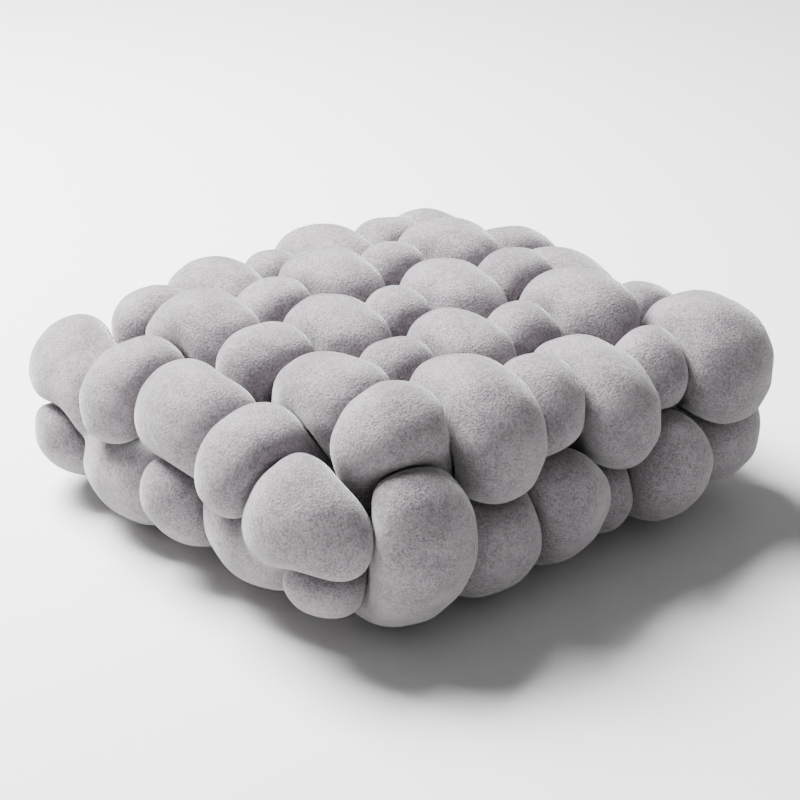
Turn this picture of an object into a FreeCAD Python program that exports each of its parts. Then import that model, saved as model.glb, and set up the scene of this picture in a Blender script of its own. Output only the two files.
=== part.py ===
import FreeCAD, Part
import math
import os

# Hand-woven floor cushion: closed strands of stuffed plush tube in a plain weave.
# Long strands run along Y, side by side in X; cross strands run along X, side by side in Y.
# Each strand is a closed loop: over the top, round one side, under the cushion and back up.
# The origin is at the middle of the underside, +Z is up, and sizes are in millimetres.

LONG_STRANDS = 5
CROSS_STRANDS = 7
FULL_TURN = 360.0

SIZES = (
    ("overall_width", 450.0, "width along X, across the long strands"),
    ("overall_length", 500.0, "length along Y, across the cross strands"),
    ("overall_height", 196.0, "thickness of the woven cushion"),
    ("strand_diameter", 54.0, "stuffed strand as squeezed by the weave"),
    ("strand_gap", 0.3, "clearance between strands that touch"),
    ("turn_radius", 42.0, "centre line radius where a strand turns round a side"),
    ("casing_wall", 1.5, "plush fabric with its backing and pile"),
    ("filling_gap", 0.3, "clearance between the filling and the casing"),
    ("layer_gap", 5.0, "clear height between the upper and the lower layer of strands"),
    ("foot_flat", 1.0, "depth that each lower lobe is pressed flat"),
)

doc = FreeCAD.newDocument("woven_cushion")
sheet = doc.addObject("Spreadsheet::Sheet", "sizes")
for row, (alias, value, meaning) in enumerate(SIZES, start=1):
    sheet.set(f"A{row}", alias)
    sheet.set(f"B{row}", str(value))
    sheet.set(f"C{row}", meaning)
    sheet.setAlias(f"B{row}", alias)
doc.recompute()


def size(alias):
    """Read one driving dimension from the sheet."""
    return float(sheet.get(alias))


radius = size("strand_diameter") / 2
reach = size("turn_radius") + radius
long_pitch = (size("overall_width") - 2 * reach) / (LONG_STRANDS - 1)
cross_pitch = (size("overall_length") - 2 * reach) / (CROSS_STRANDS - 1)

# Heights of the four centre lines stacked at each crossing. Crossing strands touch,
# or are squeezed where the cushion is too thin for four whole strands.
top_outer = size("overall_height") - radius
bottom_outer = radius - size("foot_flat")
touching = size("strand_diameter") + size("strand_gap")
squeezed = (top_outer - bottom_outer - size("strand_diameter") - size("layer_gap")) / 2
step = min(touching, squeezed)
top_inner = top_outer - step
bottom_inner = bottom_outer + step


def point(along, height):
    """A point of the plane that a strand's centre line lies in."""
    return FreeCAD.Vector(along, 0, height)


def arc(centre, start, turn):
    """One bend of the centre line: centre, start point and signed angle in degrees."""
    spoke = start - centre
    bend = FreeCAD.Rotation(FreeCAD.Vector(0, -1, 0), turn)
    return {"centre": centre, "start": start, "turn": turn, "end": centre + bend.multVec(spoke)}


def straight(start, end):
    """One straight run of the centre line."""
    return {"centre": None, "start": start, "turn": 0.0, "end": end}


def span(start, pitch, forward, rise):
    """The S-shaped stretch between two neighbouring crossings, as two equal bends."""
    bend_radius = (pitch ** 2 + rise ** 2) / (4 * abs(rise))
    turn = math.degrees(math.asin(pitch / 2 / bend_radius)) * math.copysign(1, forward * rise)
    centre = start + point(0, math.copysign(bend_radius, rise))
    first = arc(centre, start, turn)
    far_centre = start + point(forward * pitch, rise - math.copysign(bend_radius, rise))
    return [first, arc(far_centre, first["end"], -turn)]


def side_turn(start, forward, drop):
    """The bend round one side, from an edge crossing to the one below or above it."""
    bend = size("turn_radius")
    way = math.copysign(1, drop)
    eighth = -FULL_TURN / 8 * forward * -way
    upper = start + point(0, way * bend)
    first = arc(upper, start, eighth)
    second = arc(upper, first["end"], eighth)
    run = straight(second["end"], second["end"] + point(0, drop - 2 * way * bend))
    lower = upper + point(0, drop - 2 * way * bend)
    third = arc(lower, run["end"], eighth)
    return [first, second, run, third, arc(lower, third["end"], eighth)]


def centre_line(count, pitch, starts_outer):
    """Stretches of one closed centre line, one list per crossing, each from that crossing to the next."""
    half = (count - 1) * pitch / 2
    outer = [starts_outer == (k % 2 == 0) for k in range(2 * count)]
    heights = [top_outer if outer[k] else top_inner for k in range(count)]
    heights += [bottom_outer if outer[k] else bottom_inner for k in range(count, 2 * count)]
    places = [k * pitch - half for k in range(count)]
    places += places[::-1]
    stretches = []
    for k in range(2 * count):
        start = point(places[k], heights[k])
        rise = heights[(k + 1) % (2 * count)] - heights[k]
        forward = 1 if k < count else -1
        if k in (count - 1, 2 * count - 1):
            stretches.append(side_turn(start, forward, rise))
        else:
            stretches.append(span(start, pitch, forward, rise))
    return stretches, outer


def skin(stretch, tube_radius):
    """The side face that a circle leaves when it follows one bend or run."""
    start, end, centre = stretch["start"], stretch["end"], stretch["centre"]
    if centre is None:
        circle = Part.Circle(start, end - start, tube_radius).toShape()
        return circle.extrude(end - start)
    across = FreeCAD.Vector(0, -1, 0)
    circle = Part.Circle(start, across.cross(start - centre), tube_radius).toShape()
    return circle.revolve(centre, across, stretch["turn"])


def cap(stretch, where, tube_radius):
    """The flat disc that closes a cut-off stretch of tube."""
    place, centre = stretch[where], stretch["centre"]
    if centre is None:
        normal = stretch["end"] - stretch["start"]
    else:
        normal = FreeCAD.Vector(0, -1, 0).cross(place - centre)
    return Part.Face(Part.Wire([Part.Circle(place, normal, tube_radius).toShape()]))


def tube(stretches, tube_radius, closed):
    """A solid tube along the stretches, as a closed loop or with two flat ends."""
    runs = [one for one in stretches if (one["end"] - one["start"]).Length > size("strand_gap") / 10]
    faces = [skin(one, tube_radius) for one in runs]
    if not closed:
        faces += [cap(runs[0], "start", tube_radius), cap(runs[-1], "end", tube_radius)]
    shell = Part.Compound(faces)
    shell.sewShape()
    solid = Part.Solid(shell.Shells[0] if shell.Shells else shell)
    if solid.Volume < 0:
        solid.reverse()
    return solid


def strand(family, index):
    """What one closed strand of the weave needs: its centre line, parity and place."""
    long_way = family == "long"
    count = CROSS_STRANDS if long_way else LONG_STRANDS
    pitch = cross_pitch if long_way else long_pitch
    own_count = LONG_STRANDS if long_way else CROSS_STRANDS
    own_pitch = long_pitch if long_way else cross_pitch
    offset = (index - (own_count - 1) / 2) * own_pitch
    starts_outer = (index % 2 == 1) if long_way else (index % 2 == 0)
    stretches, outer = centre_line(count, pitch, starts_outer)
    if long_way:
        place = FreeCAD.Placement(FreeCAD.Vector(offset, 0, 0), FreeCAD.Rotation(FreeCAD.Vector(0, 0, 1), 90))
    else:
        place = FreeCAD.Placement(FreeCAD.Vector(0, offset, 0), FreeCAD.Rotation())
    return {"stretches": stretches, "outer": outer, "place": place, "count": count}


def pressing_length(one, k, inset):
    """The stretch of a strand that presses on what it crosses at crossing k, with its clearance."""
    stretches = one["stretches"]
    before = stretches[k - 1]
    after = stretches[k]
    last = one["count"] - 1
    if k % one["count"] == 0:
        before = before[1:]
    if k % one["count"] == last:
        after = after[:-1]
    press = tube(before + after, radius + size("strand_gap") + inset, False)
    press.Placement = one["place"]
    return press


def crossing_number(one, other_index, on_top):
    """The place in a strand's own order of its crossing with another strand."""
    return other_index if on_top else 2 * one["count"] - 1 - other_index


def strand_solid(family, index, inset):
    """One strand, inset all over, grooved where another strand passes outside it."""
    own = strands[family, index]
    other_family = "cross" if family == "long" else "long"
    body = tube([run for stretch in own["stretches"] for run in stretch], radius - inset, True)
    body.Placement = own["place"]
    presses = []
    for other_index in range(own["count"]):
        other = strands[other_family, other_index]
        for on_top in (True, False):
            if not own["outer"][crossing_number(own, other_index, on_top)]:
                k = crossing_number(other, index, on_top)
                presses.append(pressing_length(other, k, inset))
    floor = Part.makeBox(
        2 * size("overall_width"), 2 * size("overall_length"), size("overall_height"),
        FreeCAD.Vector(-size("overall_width"), -size("overall_length"), inset - size("overall_height")))
    return body.cut(presses + [floor])


def add_shape(name, shape):
    """A document object that holds a shape made from the sheet's sizes."""
    item = doc.addObject("Part::Feature", name)
    item.Shape = shape
    return item


strands = {}
for i in range(LONG_STRANDS):
    strands["long", i] = strand("long", i)
for j in range(CROSS_STRANDS):
    strands["cross", j] = strand("cross", j)

nodes = []
wall = size("casing_wall")
for family, index in strands:
    label = f"{family}_strand_{index + 1}"
    outside = add_shape(f"{label}_outside", strand_solid(family, index, 0.0))
    cavity = add_shape(f"{label}_cavity", strand_solid(family, index, wall))
    casing = doc.addObject("Part::Cut", f"{label}_casing")
    casing.Base = outside
    casing.Tool = cavity
    casing.Label = f"{label}_casing"
    filling = add_shape(f"{label}_filling", strand_solid(family, index, wall + size("filling_gap")))
    filling.Label = f"{label}_filling"
    nodes += [casing, filling]
doc.recompute()

for item in doc.Objects:
    if "Invalid" in item.State or "Error" in item.State:
        raise RuntimeError(f"{item.Label} failed to recompute")
for item in nodes:
    if item.Shape.isNull() or not item.Shape.isValid() or not item.Shape.Solids:
        raise RuntimeError(f"{item.Label} has no valid solid")
    if len(item.Shape.Solids) != 1:
        raise RuntimeError(f"{item.Label} came apart into {len(item.Shape.Solids)} solids")

os.makedirs("parts", exist_ok=True)
for item in nodes:
    item.Shape.exportStep(f"parts/{item.Label}.step")
    print(item.Label, len(item.Shape.Faces), round(item.Shape.Volume))
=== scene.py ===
import math

import bpy
import numpy as np
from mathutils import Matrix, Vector


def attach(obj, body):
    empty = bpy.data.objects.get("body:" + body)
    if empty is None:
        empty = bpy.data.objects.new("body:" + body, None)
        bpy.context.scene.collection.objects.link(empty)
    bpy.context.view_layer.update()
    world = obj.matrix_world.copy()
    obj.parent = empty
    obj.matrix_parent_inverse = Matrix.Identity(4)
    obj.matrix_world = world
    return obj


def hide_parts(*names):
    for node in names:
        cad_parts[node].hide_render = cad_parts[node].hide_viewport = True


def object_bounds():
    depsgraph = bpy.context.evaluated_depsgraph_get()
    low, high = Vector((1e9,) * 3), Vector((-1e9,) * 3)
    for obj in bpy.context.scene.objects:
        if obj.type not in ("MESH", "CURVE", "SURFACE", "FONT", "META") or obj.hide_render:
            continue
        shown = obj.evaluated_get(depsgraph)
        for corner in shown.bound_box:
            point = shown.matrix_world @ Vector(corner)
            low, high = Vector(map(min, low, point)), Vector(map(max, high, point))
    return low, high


# Hand-woven plush cushion. Twelve closed strands of stuffed velvet tube are woven over and
# under each other: long strands run along Y, cross strands along X, and each one goes over
# the top, round a side, under the cushion and back up. All lengths are in metres.

bl_info = {
    "name": "Woven Plush Cushion",
    "version": (1, 0, 0),
    "blender": (4, 5, 0),
    "location": "View3D > Sidebar > Cushion",
    "description": "Builds a hand-woven floor cushion of stuffed velvet strands",
    "category": "Add Mesh",
}

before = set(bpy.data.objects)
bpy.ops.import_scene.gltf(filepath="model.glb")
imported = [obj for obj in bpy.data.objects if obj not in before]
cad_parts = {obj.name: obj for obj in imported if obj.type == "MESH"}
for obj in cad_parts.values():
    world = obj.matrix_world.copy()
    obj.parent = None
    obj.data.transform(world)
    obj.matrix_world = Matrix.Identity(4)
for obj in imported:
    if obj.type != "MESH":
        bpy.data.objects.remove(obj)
CAD_LOW, CAD_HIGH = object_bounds()

MM = 0.001
LONG_STRANDS = 5
CROSS_STRANDS = 7
HALF_X = (CAD_HIGH.x - CAD_LOW.x) / 2
HALF_Y = (CAD_HIGH.y - CAD_LOW.y) / 2
HEIGHT = CAD_HIGH.z - CAD_LOW.z

# Where strands cross, counted from the middle row outwards, and the height they weave about.
ROW_X = (0, 79 * MM, 158 * MM)
ROW_Y = (0, 57 * MM, 124 * MM, 180 * MM)
MIDDLE = CAD_LOW.z + 93 * MM

# At a crossing the outer strand swells into a lobe and the inner one is squeezed under it.
OUTER_RADIUS = {"cross": 47 * MM, "long": 43 * MM}
INNER_RADIUS = {"cross": 38 * MM, "long": 36 * MM}
OUTER_LIFT = {"cross": 45 * MM, "long": 44 * MM}
INNER_LIFT = 11 * MM

# The top (1) and the underside (-1) round off towards the edges: how far the last rows draw
# towards the middle, the extra on top at the first long strand, the share of it that an inner
# strand follows, and how far outer lobes stand out sideways and inner ones are drawn in.
SAG_X = {1: 11 * MM, -1: 6 * MM}
SAG_Y = {1: 20 * MM, -1: 8 * MM}
FAR_SIDE_SAG = 9 * MM
INNER_SAG = 0.4
EDGE_PROUD = {1: 5 * MM, -1: 9 * MM}
INNER_TUCK = 8 * MM

# A strand that turns round a side: its radius there, how far its centre line is drawn in before
# the turn, how far it stands past the CAD side, and how much higher it turns when it is outer
# at the top of the turn (True) or inner there (False).
TURN_RADIUS = {"cross": 45 * MM, "long": 40 * MM}
WRAP_TUCK = 12 * MM
SIDE_PROUD = {"cross": 1 * MM, "long": -8 * MM}
TURN_SHIFT = {True: 12 * MM, False: -8 * MM}

# How far each corner has settled out of square, in x, y and z.
CORNER_SHIFT = {
    (1, -1): (-8 * MM, 8 * MM, -4 * MM),
    (1, 1): (4 * MM, -4 * MM, 6 * MM),
    (-1, -1): (0, 0, -6 * MM),
    (-1, 1): (0, 0, -6 * MM),
}

# Lobes that lie away from the even weave, in millimetres of x, y, z and radius. A crossing is
# family, strand, crossing, top (1) or underside (-1). A turn is family, strand, "turn" and the
# far end (1) or the near end (-1).
SET_ASIDE = {
    ("cross", 0, 0, 1): (-5, -2, -12, 4),
    ("cross", 0, 4, 1): (-6, -4, -10, 1),
    ("cross", 0, 3, -1): (2, 4, 5, -2),
    ("cross", 0, "turn", 1): (-12, 2, -14, -3),
    ("cross", 1, 4, 1): (8, -8, 24, 5),
    ("cross", 1, 4, -1): (8, -6, 0, 4),
    ("cross", 1, "turn", 1): (5, -14, 12, 5),
    ("cross", 2, 4, 1): (-8, 0, 10, 2),
    ("cross", 2, "turn", 1): (0, -4, 14, 0),
    ("cross", 3, "turn", 1): (0, 8, 4, 2),
    ("cross", 5, "turn", 1): (0, -8, 0, 2),
    ("cross", 6, 4, 1): (0, -4, 12, 6),
    ("cross", 6, "turn", 1): (-5, 0, 8, 6),
    ("long", 0, 0, -1): (1, 4, -2, 7),
    ("long", 0, "turn", -1): (1, 6, -2, 7),
    ("long", 4, 1, 1): (-8, -4, 18, 2),
    ("long", 4, 3, 1): (0, 0, 6, 2),
    ("long", 4, 5, 1): (0, 8, 0, 0),
    ("long", 4, 0, -1): (-2, 6, 0, -5),
    ("long", 4, 2, -1): (4, 0, 4, 6),
    ("long", 4, "turn", -1): (0, 8, -2, -6),
}
IN_PLACE = (0, 0, 0, 0)
WOBBLE = 2 * MM
WOBBLE_SEED = 11

# How finely a strand is sampled, along it and round it, and the grid of the distance field.
POINTS_PER_STRAND = 380
FINER_FIRST = 8
STEPS_ROUND = 72
FIELD_CELL = 6 * MM
FIELD_MARGIN = 12 * MM
FIELD_BATCH = 20000

# A ray looks for the surface between these shares of the radius, and stops this far into any
# other stretch of its own strand.
MARCH_FROM = 0.06
MARCH_TO = 1.3
MARCH_STEPS = 20
FAR_FOLD = 8 * MM

# The plush mesh, how far the filling keeps inside the surface and the least height above the floor.
PLUSH_CELL = 2.6 * MM
SMOOTH_FACTOR = 0.5
SMOOTH_PASSES = 6
FILLING_INSET = 5 * MM
FLOOR_GAP = 0.2 * MM

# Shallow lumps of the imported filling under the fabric.
LUMP_SEED = 5
LUMP_WAVES = 14
LUMP_SPACING = (22 * MM, 60 * MM)
LUMP_HEIGHT = 0.5 * MM

# Distances between features of each finish, in millimetres.
NAP_SPACING = 45
STREAK_SPACING = 7
PILE_SPACING = 1.8
TANGLE_SPACING = 10 / 3
STIPPLE_SPACING = 2.5

# How much the nap and its streaks count beside the pile, and how wide the change is from
# the velvet's shade to its colour: a smaller number is a stronger contrast.
NAP_SHARE = 0.35
STREAK_SHARE = 0.35
PILE_CONTRAST = 0.16

FLOOR_SIZE = 12.0
SKY_STRENGTH = 0.24
KEY_LIGHT_PLACE = (-1.2, -0.4, 1.75)
KEY_LIGHT_WIDTH = 1.2
KEY_LIGHT_POWER = 320
CAMERA_TARGET = (0, 0, 0.152)
CAMERA_AZIMUTH = math.radians(51.3)
CAMERA_ELEVATION = math.radians(23.7)
CAMERA_DISTANCE = 1.722
CAMERA_LENS = 96.6
CAMERA_SHIFT = (0.0049, -0.099)


# ---------------------------------------------------------------- settings

class WeaveSettings(bpy.types.PropertyGroup):
    crease_softness: bpy.props.FloatProperty(
        name="Crease softness", description="Width over which a lobe rounds into a crease",
        default=12 * MM, unit="LENGTH")
    strand_gap: bpy.props.FloatProperty(
        name="Strand gap", description="Clearance between strands that press on each other",
        default=0.8 * MM, unit="LENGTH")


class FinishSettings(bpy.types.PropertyGroup):
    velvet_colour: bpy.props.StringProperty(
        name="Velvet", description="Plush velvet colour, sRGB hex", default="#999498")
    velvet_shade: bpy.props.StringProperty(
        name="Velvet shade", description="Velvet colour where the nap lies away, sRGB hex",
        default="#6E696D")
    fibre_colour: bpy.props.StringProperty(
        name="Fibre", description="Polyester fibre colour, sRGB hex", default="#F1F0EC")
    floor_colour: bpy.props.StringProperty(
        name="Floor", description="Studio floor colour, sRGB hex", default="#E9E9E9")


# ---------------------------------------------------------------- shape of the weave

def crossing(i, j, side, family):
    """Centre point and radius of one strand where long strand i meets cross strand j."""
    outer = is_outer(i, j, side, family)
    from_x = i - (LONG_STRANDS - 1) / 2
    from_y = j - (CROSS_STRANDS - 1) / 2
    edge_x = i in (0, LONG_STRANDS - 1)
    edge_y = j in (0, CROSS_STRANDS - 1)
    sag = edge_x * SAG_X[side] + edge_y * SAG_Y[side]
    if side > 0 and i == 0:
        sag += FAR_SIDE_SAG
    lift = OUTER_LIFT[family] - sag if outer else INNER_LIFT - sag * INNER_SAG
    tuck = -EDGE_PROUD[side] if outer else INNER_TUCK
    tuck_x = WRAP_TUCK if family == "cross" else tuck
    tuck_y = WRAP_TUCK if family == "long" else tuck
    x = math.copysign(ROW_X[int(abs(from_x))] - tuck_x * edge_x, from_x)
    y = math.copysign(ROW_Y[int(abs(from_y))] - tuck_y * edge_y, from_y)
    radius = OUTER_RADIUS[family] if outer else INNER_RADIUS[family]
    return np.array([x, y, MIDDLE + side * lift, radius])


def set_aside(*place):
    """How far one crossing or turn lies from the even weave, and its extra radius."""
    return np.array(SET_ASIDE.get(place, IN_PLACE)) * MM


def settled(points):
    """The stations after the soft cushion's corners have settled out of square."""
    moved = points.copy()
    for (way_x, way_y), shift in CORNER_SHIFT.items():
        near_x = np.clip(way_x * points[:, 0] / HALF_X, 0, 1)
        near_y = np.clip(way_y * points[:, 1] / HALF_Y, 0, 1)
        high = points[:, 2] / HEIGHT
        moved[:, :2] += (near_x * near_y)[:, None] ** 2 * np.array(shift[:2])
        moved[:, 2] += (near_x * near_y) ** 2 * high * shift[2]
    return moved


def is_outer(i, j, side, family):
    """Plain weave: strands alternate, and the one that is inner on top is outer underneath."""
    even = (i + j) % 2 == 0
    cross_out = even if side > 0 else not even
    return cross_out if family == "cross" else not cross_out


def stations(family, index, wobble):
    """Centre points and radii that one strand passes through, in order round the loop."""
    count = CROSS_STRANDS if family == "long" else LONG_STRANDS
    axis = 1 if family == "long" else 0
    reach = (HALF_X, HALF_Y)[axis] + SIDE_PROUD[family] - TURN_RADIUS[family]
    places = [(k, 1) for k in range(count)] + [(k, -1) for k in range(count - 1, -1, -1)]
    points = []
    for k, side in places:
        i, j = (index, k) if family == "long" else (k, index)
        point = crossing(i, j, side, family) + set_aside(family, index, k, side)
        if side > 0 and k in (0, count - 1):
            turn = (point + crossing(i, j, -side, family)) / 2
            turn[2] += TURN_SHIFT[is_outer(i, j, side, family)]
            turn[3] = TURN_RADIUS[family]
            turn[axis] = math.copysign(reach, point[axis])
            turn += set_aside(family, index, "turn", 1 if k else -1)
            points += [turn, point] if k == 0 else [point, turn]
        else:
            points.append(point)
    points = settled(np.array(points))
    return points + wobble.uniform(-WOBBLE, WOBBLE, points.shape)


def smooth_loop(points, samples):
    """A closed cubic spline through the points, sampled more closely where it turns."""
    count = len(points)
    chord = np.linalg.norm((np.roll(points, -1, 0) - points)[:, :3], axis=1) ** 0.5
    knots = np.concatenate([[0], np.cumsum(chord)])
    before = np.roll(chord, 1)
    matrix = np.zeros((count, count))
    right = np.zeros((count, points.shape[1]))
    for k in range(count):
        matrix[k, k - 1] += before[k]
        matrix[k, k] += 2 * (before[k] + chord[k])
        matrix[k, (k + 1) % count] += chord[k]
        ahead = (points[(k + 1) % count] - points[k]) / chord[k]
        behind = (points[k] - points[k - 1]) / before[k]
        right[k] = 6 * (ahead - behind)
    bend = np.linalg.solve(matrix, right)
    fine = np.linspace(0, knots[-1], samples * FINER_FIRST, endpoint=False)
    piece = np.clip(np.searchsorted(knots, fine, side="right") - 1, 0, count - 1)
    nxt = (piece + 1) % count
    width = chord[piece][:, None]
    a = ((knots[piece + 1] - fine) / chord[piece])[:, None]
    b = 1 - a
    curve = (a * points[piece] + b * points[nxt]
             + ((a ** 3 - a) * bend[piece] + (b ** 3 - b) * bend[nxt]) * width ** 2 / 6)
    steps = (np.roll(curve, -1, 0) - curve)[:, :3]
    lengths = np.linalg.norm(steps, axis=1)
    ways = steps / lengths[:, None]
    turning = np.linalg.norm(np.roll(ways, -1, 0) - ways, axis=1)
    walked = np.concatenate([[0], np.cumsum(lengths + turning * curve[:, 3])])
    wanted = np.linspace(0, walked[-1], samples, endpoint=False)
    closed = np.vstack([curve, curve[:1]])
    return np.stack([np.interp(wanted, walked, closed[:, axis]) for axis in range(4)], 1)


class Field:
    """Distances to every free strand on a regular grid, read back between the grid points."""

    def __init__(self, loops):
        self.low = np.array(CAD_LOW) - FIELD_MARGIN
        high = np.array(CAD_HIGH) + FIELD_MARGIN
        self.shape = np.ceil((high - self.low) / FIELD_CELL).astype(int) + 2
        axes = [self.low[k] + np.arange(self.shape[k]) * FIELD_CELL for k in range(3)]
        grid = np.stack(np.meshgrid(*axes, indexing="ij"), -1).reshape(-1, 3).astype(np.float32)
        self.values = [self.distances(grid, loop[::2].astype(np.float32)) for loop in loops]

    def distances(self, grid, loop):
        """Distance from each grid point to the surface of one free strand, negative inside it."""
        centres, radii = loop[:, :3], loop[:, 3]
        out = np.empty(len(grid), np.float32)
        centre_square = (centres ** 2).sum(1)
        for start in range(0, len(grid), FIELD_BATCH):
            part = grid[start:start + FIELD_BATCH]
            square = (part ** 2).sum(1)[:, None] + centre_square - 2 * part @ centres.T
            out[start:start + FIELD_BATCH] = (np.sqrt(np.maximum(square, 0)) - radii).min(1)
        return out

    def corners(self, points):
        """Grid cell of each point, kept inside the grid, and how far across the cell it lies."""
        place = (points - self.low) / FIELD_CELL
        place = np.clip(place, 0, self.shape - 1.001)
        cell = place.astype(int)
        return cell, place - cell

    def read(self, which, cell, part):
        """One strand's distance at the points that cell and part describe."""
        values = self.values[which]
        x, y, z = cell[..., 0], cell[..., 1], cell[..., 2]
        total = 0
        for dx in (0, 1):
            for dy in (0, 1):
                for dz in (0, 1):
                    flat = ((x + dx) * self.shape[1] + y + dy) * self.shape[2] + z + dz
                    near = np.abs(1 - np.array([dx, dy, dz]) - part)
                    total = total + values[flat] * (near[..., 0] * near[..., 1] * near[..., 2])
        return total


def soft_max(a, b, width):
    """The larger of two values, rounded where they are nearly equal."""
    near = np.maximum(width - np.abs(a - b), 0)
    return np.maximum(a, b) + near ** 2 / (4 * width)


def directions(loop, family, steps):
    """Unit vectors all round the centre line at each of its points."""
    ahead = (np.roll(loop, -1, 0) - np.roll(loop, 1, 0))[:, :3]
    ahead /= np.linalg.norm(ahead, axis=1)[:, None]
    across = np.array([0, 1, 0]) if family == "cross" else np.array([1, 0, 0])
    across = across - (ahead @ across)[:, None] * ahead
    across /= np.linalg.norm(across, axis=1)[:, None]
    outward = np.cross(ahead, across)
    turn = np.linspace(0, 2 * math.pi, steps, endpoint=False)
    return (outward[:, None, :] * np.cos(turn)[None, :, None]
            + across[:, None, :] * np.sin(turn)[None, :, None])


def lumps(points):
    """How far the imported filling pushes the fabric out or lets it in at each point."""
    waves = np.random.default_rng(LUMP_SEED)
    total = np.zeros(points.shape[:-1])
    for _ in range(LUMP_WAVES):
        way = waves.normal(size=3)
        way *= 2 * math.pi / (waves.uniform(*LUMP_SPACING) * np.linalg.norm(way))
        total += np.sin(points @ way + waves.uniform(0, 2 * math.pi))
    return LUMP_HEIGHT * total / math.sqrt(LUMP_WAVES / 2)


def tube_surface(which, weave, steps, inset):
    """Points of one strand's surface: round where free, pressed flat against its neighbours.

    Rays leave the centre line and stop where the strand's own distance, or its contact with
    a neighbour, reaches the surface, and short of any other turn of its own loop."""
    loop, family = weave["loops"][which], weave["names"][which][0]
    rays = directions(loop, family, steps)
    centres, radii = loop[:, None, :3], loop[:, 3:4]
    previous = None
    found = np.ones(rays.shape[:2]) * radii * MARCH_TO
    done = np.zeros(rays.shape[:2], bool)
    for share in np.linspace(MARCH_FROM, MARCH_TO, MARCH_STEPS):
        depth = radii * share
        points = centres + rays * depth[..., None]
        cell, part = weave["field"].corners(points)
        own = weave["field"].read(which, cell, part)
        edge = own
        for other in range(len(weave["loops"])):
            if other == which:
                continue
            pressed = weave["field"].read(other, cell, part)
            contact = (own - pressed + weave["gap"]) / 2
            edge = soft_max(edge, contact, weave["softness"])
        edge = np.maximum(edge, depth - radii - own - FAR_FOLD)
        edge = np.maximum(edge, weave["floor"] - points[..., 2])
        edge = edge + inset
        if previous is not None:
            crossed = (~done) & (edge >= 0)
            change = edge - previous[1]
            part_way = np.clip(-previous[1] / np.where(change == 0, 1, change), 0, 1)
            found = np.where(crossed, previous[0] + part_way * (depth - previous[0]), found)
            done |= crossed
        previous = (depth, edge)
    surface = centres + rays * found[..., None]
    return surface + rays * lumps(surface)[..., None]


def make_weave(settings):
    """Centre lines, radii and distance field of all the strands."""
    names = [("long", i) for i in range(LONG_STRANDS)] + [("cross", j) for j in range(CROSS_STRANDS)]
    wobble = np.random.default_rng(WOBBLE_SEED)
    loops = [smooth_loop(stations(*name, wobble), POINTS_PER_STRAND) for name in names]
    return {
        "names": names,
        "loops": loops,
        "gap": settings.strand_gap,
        "softness": settings.crease_softness,
        "floor": CAD_LOW.z,
        "field": Field(loops),
    }


WEAVE = {}


def weave_of(context):
    """The weave, worked out once and shared by the operators."""
    if not WEAVE:
        WEAVE.update(make_weave(context.scene.cushion_weave))
    return WEAVE


# ---------------------------------------------------------------- materials

def linear(hex_colour):
    """Linear RGBA from an sRGB hex value."""
    parts = [int(hex_colour[k:k + 2], 16) / 255 for k in (1, 3, 5)]
    return [c / 12.92 if c <= 0.04045 else ((c + 0.055) / 1.055) ** 2.4 for c in parts] + [1.0]


def per_metre(spacing):
    """The noise scale that puts features this many millimetres apart."""
    return 1 / (spacing * MM)


def add_node(tree, kind, links=None, **values):
    """Adds one node, sets its properties and input values, and links its inputs."""
    node = tree.nodes.new(kind)
    for name, value in values.items():
        if hasattr(node, name):
            setattr(node, name, value)
        else:
            node.inputs[name.replace("_", " ")].default_value = value
    for name, source in (links or {}).items():
        tree.links.new(source, node.inputs[name])
    return node


def new_material(name):
    """An empty node material with its output."""
    material = bpy.data.materials.new(name)
    material.use_nodes = True
    tree = material.node_tree
    tree.nodes.clear()
    output = tree.nodes.new("ShaderNodeOutputMaterial")
    return material, tree, output


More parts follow.
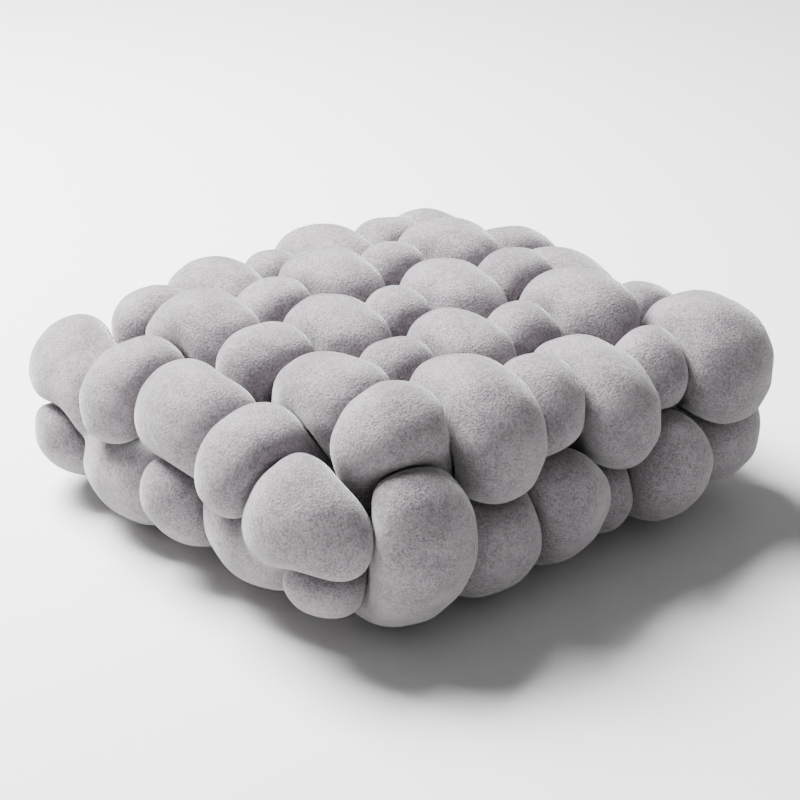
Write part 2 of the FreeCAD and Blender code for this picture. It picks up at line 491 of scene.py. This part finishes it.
def plush_velvet(settings):
    """Short-pile polyester velvet, knitted and sheared: matt, with bright rims where the pile is
    seen edge on and soft patches where the nap has been stroked. The tufts of a sheared pile are
    about 0.4 mm apart, too fine to show here, so they are drawn 1.8 mm apart."""
    material, tree, output = new_material("sheared_plush_velvet")
    place = add_node(tree, "ShaderNodeTexCoord").outputs["Object"]
    nap = add_node(
        tree, "ShaderNodeTexNoise", {"Vector": place},
        Scale=per_metre(NAP_SPACING), Detail=1.0, Roughness=0.4)
    streak = add_node(
        tree, "ShaderNodeTexNoise", {"Vector": place},
        Scale=per_metre(STREAK_SPACING), Detail=3.0, Roughness=0.6)
    pile = add_node(
        tree, "ShaderNodeTexNoise", {"Vector": place},
        Scale=per_metre(PILE_SPACING), Detail=2.0, Roughness=0.75)
    stroked = add_node(
        tree, "ShaderNodeMath", {0: nap.outputs["Fac"], 2: pile.outputs["Fac"]},
        operation="MULTIPLY_ADD")
    stroked.inputs[1].default_value = NAP_SHARE
    tufts = add_node(
        tree, "ShaderNodeMath", {0: streak.outputs["Fac"], 2: stroked.outputs[0]},
        operation="MULTIPLY_ADD")
    tufts.inputs[1].default_value = STREAK_SHARE
    ramp = add_node(tree, "ShaderNodeMapRange", {"Value": tufts.outputs[0]})
    middle = (1 + NAP_SHARE + STREAK_SHARE) / 2
    ramp.inputs["From Min"].default_value = middle - PILE_CONTRAST
    ramp.inputs["From Max"].default_value = middle + PILE_CONTRAST
    colour = add_node(tree, "ShaderNodeMix", {"Factor": ramp.outputs["Result"]}, data_type="RGBA")
    colour.inputs[6].default_value = linear(settings.velvet_shade)
    colour.inputs[7].default_value = linear(settings.velvet_colour)
    bump = add_node(
        tree, "ShaderNodeBump", {"Height": tufts.outputs[0]},
        Strength=0.9, Distance=1.3 * MM)
    shader = add_node(
        tree, "ShaderNodeBsdfPrincipled",
        {"Base Color": colour.outputs[2], "Normal": bump.outputs["Normal"]},
        Roughness=0.95, Sheen_Weight=0.8, Sheen_Roughness=0.32)
    shader.inputs["Specular IOR Level"].default_value = 0.1
    tree.links.new(shader.outputs["BSDF"], output.inputs["Surface"])
    return material


def polyester_fibre(settings):
    """Loose polyester filling fibre, carded: matt white with a tangled surface. The fibres are
    far finer than a millimetre, so the tangle is drawn as clumps 3.3 mm apart."""
    material, tree, output = new_material("carded_polyester_fibre")
    place = add_node(tree, "ShaderNodeTexCoord").outputs["Object"]
    tangle = add_node(
        tree, "ShaderNodeTexNoise", {"Vector": place},
        Scale=per_metre(TANGLE_SPACING), Detail=5.0, Roughness=0.7)
    bump = add_node(
        tree, "ShaderNodeBump", {"Height": tangle.outputs["Fac"]},
        Strength=0.6, Distance=1.5 * MM)
    shader = add_node(
        tree, "ShaderNodeBsdfPrincipled", {"Normal": bump.outputs["Normal"]}, Roughness=0.9)
    shader.inputs["Base Color"].default_value = linear(settings.fibre_colour)
    tree.links.new(shader.outputs["BSDF"], output.inputs["Surface"])
    return material


def studio_floor(settings):
    """Matt painted studio floor, rolled on: pale grey with the faint stipple that a roller
    leaves, 2.5 mm apart."""
    material, tree, output = new_material("painted_studio_floor")
    place = add_node(tree, "ShaderNodeTexCoord").outputs["Object"]
    stipple = add_node(
        tree, "ShaderNodeTexNoise", {"Vector": place},
        Scale=per_metre(STIPPLE_SPACING), Detail=2.0)
    bump = add_node(
        tree, "ShaderNodeBump", {"Height": stipple.outputs["Fac"]},
        Strength=0.05, Distance=0.2 * MM)
    shader = add_node(
        tree, "ShaderNodeBsdfPrincipled", {"Normal": bump.outputs["Normal"]}, Roughness=0.9)
    shader.inputs["Base Color"].default_value = linear(settings.floor_colour)
    tree.links.new(shader.outputs["BSDF"], output.inputs["Surface"])
    return material


def shared_material(name, maker):
    """One material for all the pieces that have the same finish."""
    return bpy.data.materials.get(name) or maker(bpy.context.scene.cushion_finish)


# ---------------------------------------------------------------- pieces

def loop_mesh(name, surface):
    """A closed mesh of quads from rings of points that follow a closed loop."""
    rings, steps = surface.shape[:2]
    ring, step = np.meshgrid(np.arange(rings), np.arange(steps), indexing="ij")
    next_ring, next_step = (ring + 1) % rings, (step + 1) % steps
    quads = np.stack([
        ring * steps + step, ring * steps + next_step,
        next_ring * steps + next_step, next_ring * steps + step], -1).reshape(-1, 4)
    mesh = bpy.data.meshes.new(name)
    mesh.from_pydata(surface.reshape(-1, 3).tolist(), [], quads.tolist())
    mesh.shade_smooth()
    mesh.update()
    piece = bpy.data.objects.new(name, mesh)
    bpy.context.scene.collection.objects.link(piece)
    return piece


def even_out(piece, cell):
    """Remakes a piece's mesh in even quads, smooths it and keeps it off the floor."""
    remesh = piece.modifiers.new("even", "REMESH")
    remesh.mode = "VOXEL"
    remesh.voxel_size = cell
    remesh.use_smooth_shade = True
    smooth = piece.modifiers.new("smooth", "SMOOTH")
    smooth.factor = SMOOTH_FACTOR
    smooth.iterations = SMOOTH_PASSES
    depsgraph = bpy.context.evaluated_depsgraph_get()
    mesh = bpy.data.meshes.new_from_object(piece.evaluated_get(depsgraph))
    piece.modifiers.clear()
    piece.data = mesh
    mesh.shade_smooth()
    for vertex in mesh.vertices:
        vertex.co.z = max(vertex.co.z, CAD_LOW.z + FLOOR_GAP)


def strand_label(name):
    """The CAD name stem of a strand."""
    family, index = name
    return f"{family}_strand_{index + 1}"


def weave_strands(context, family):
    """Casing pieces of one family of strands."""
    weave = weave_of(context)
    for which, name in enumerate(weave["names"]):
        if name[0] != family:
            continue
        surface = tube_surface(which, weave, STEPS_ROUND, 0.0)
        piece = loop_mesh(f"{strand_label(name)}_plush", surface)
        even_out(piece, PLUSH_CELL)
        piece.data.materials.append(shared_material("sheared_plush_velvet", plush_velvet))
        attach(piece, "root")
        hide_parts(f"{strand_label(name)}_casing")


class CUSHION_OT_long_strands(bpy.types.Operator):
    """Make the five plush strands that run along the cushion's longer side"""
    bl_idname = "cushion.long_strands"
    bl_label = "Long strands"

    def execute(self, context):
        weave_strands(context, "long")
        return {"FINISHED"}


class CUSHION_OT_cross_strands(bpy.types.Operator):
    """Make the seven plush strands that run across the cushion"""
    bl_idname = "cushion.cross_strands"
    bl_label = "Cross strands"

    def execute(self, context):
        weave_strands(context, "cross")
        return {"FINISHED"}


class CUSHION_OT_fillings(bpy.types.Operator):
    """Make the fibre filling inside each strand"""
    bl_idname = "cushion.fillings"
    bl_label = "Fillings"

    def execute(self, context):
        weave = weave_of(context)
        coarse = dict(weave, loops=[loop[::2] for loop in weave["loops"]])
        for which, name in enumerate(weave["names"]):
            surface = tube_surface(which, coarse, STEPS_ROUND // 2, FILLING_INSET)
            piece = loop_mesh(f"{strand_label(name)}_fibre", surface)
            piece.data.materials.append(shared_material("carded_polyester_fibre", polyester_fibre))
            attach(piece, "root")
            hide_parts(f"{strand_label(name)}_filling")
        return {"FINISHED"}


class CUSHION_OT_stage(bpy.types.Operator):
    """Make the pale studio floor, the soft light and the camera"""
    bl_idname = "cushion.stage"
    bl_label = "Stage"

    def execute(self, context):
        bpy.ops.mesh.primitive_plane_add(size=FLOOR_SIZE, location=(0, 0, CAD_LOW.z))
        floor = context.object
        floor.name = "studio_floor"
        floor.data.materials.append(shared_material("painted_studio_floor", studio_floor))
        world = bpy.data.worlds.new("studio_air")
        world.use_nodes = True
        sky = world.node_tree.nodes["Background"]
        sky.inputs["Color"].default_value = (1, 1, 1, 1)
        sky.inputs["Strength"].default_value = SKY_STRENGTH
        context.scene.world = world
        add_soft_light("key_light", KEY_LIGHT_PLACE, KEY_LIGHT_WIDTH, KEY_LIGHT_POWER)
        add_camera()
        return {"FINISHED"}


def add_soft_light(name, place, width, power):
    """A square area light that points at the cushion."""
    light = bpy.data.lights.new(name, "AREA")
    light.size = width
    light.energy = power
    lamp = bpy.data.objects.new(name, light)
    lamp.location = place
    towards = Vector((0, 0, MIDDLE)) - Vector(place)
    lamp.rotation_euler = towards.to_track_quat("-Z", "Y").to_euler()
    bpy.context.scene.collection.objects.link(lamp)


def add_camera():
    """A camera above the near corner, looking down on the cushion."""
    level = math.cos(CAMERA_ELEVATION)
    back = Vector((
        math.sin(CAMERA_AZIMUTH) * level,
        -math.cos(CAMERA_AZIMUTH) * level,
        math.sin(CAMERA_ELEVATION)))
    data = bpy.data.cameras.new("camera")
    data.lens = CAMERA_LENS
    data.sensor_width = 36
    data.shift_x, data.shift_y = CAMERA_SHIFT
    camera = bpy.data.objects.new("camera", data)
    camera.location = Vector(CAMERA_TARGET) + back * CAMERA_DISTANCE
    camera.rotation_euler = (-back).to_track_quat("-Z", "Y").to_euler()
    bpy.context.scene.collection.objects.link(camera)
    bpy.context.scene.camera = camera


class CUSHION_PT_panel(bpy.types.Panel):
    """Lists the steps that build the cushion"""
    bl_idname = "CUSHION_PT_panel"
    bl_label = "Woven cushion"
    bl_space_type = "VIEW_3D"
    bl_region_type = "UI"
    bl_category = "Cushion"

    def draw(self, context):
        layout = self.layout
        for name in ("crease_softness", "strand_gap"):
            layout.prop(context.scene.cushion_weave, name)
        for name in ("velvet_colour", "velvet_shade", "fibre_colour", "floor_colour"):
            layout.prop(context.scene.cushion_finish, name)
        for operator in BUILD_ORDER:
            layout.operator(operator.bl_idname)


BUILD_ORDER = (CUSHION_OT_stage, CUSHION_OT_long_strands, CUSHION_OT_cross_strands, CUSHION_OT_fillings)
CLASSES = (WeaveSettings, FinishSettings) + BUILD_ORDER + (CUSHION_PT_panel,)


def register():
    for each in CLASSES:
        bpy.utils.register_class(each)
    bpy.types.Scene.cushion_weave = bpy.props.PointerProperty(type=WeaveSettings)
    bpy.types.Scene.cushion_finish = bpy.props.PointerProperty(type=FinishSettings)


def unregister():
    del bpy.types.Scene.cushion_finish
    del bpy.types.Scene.cushion_weave
    for each in reversed(CLASSES):
        bpy.utils.unregister_class(each)


def main():
    register()
    bpy.ops.cushion.stage()
    bpy.ops.cushion.long_strands()
    bpy.ops.cushion.cross_strands()
    bpy.ops.cushion.fillings()


if __name__ == "__main__":
    main()
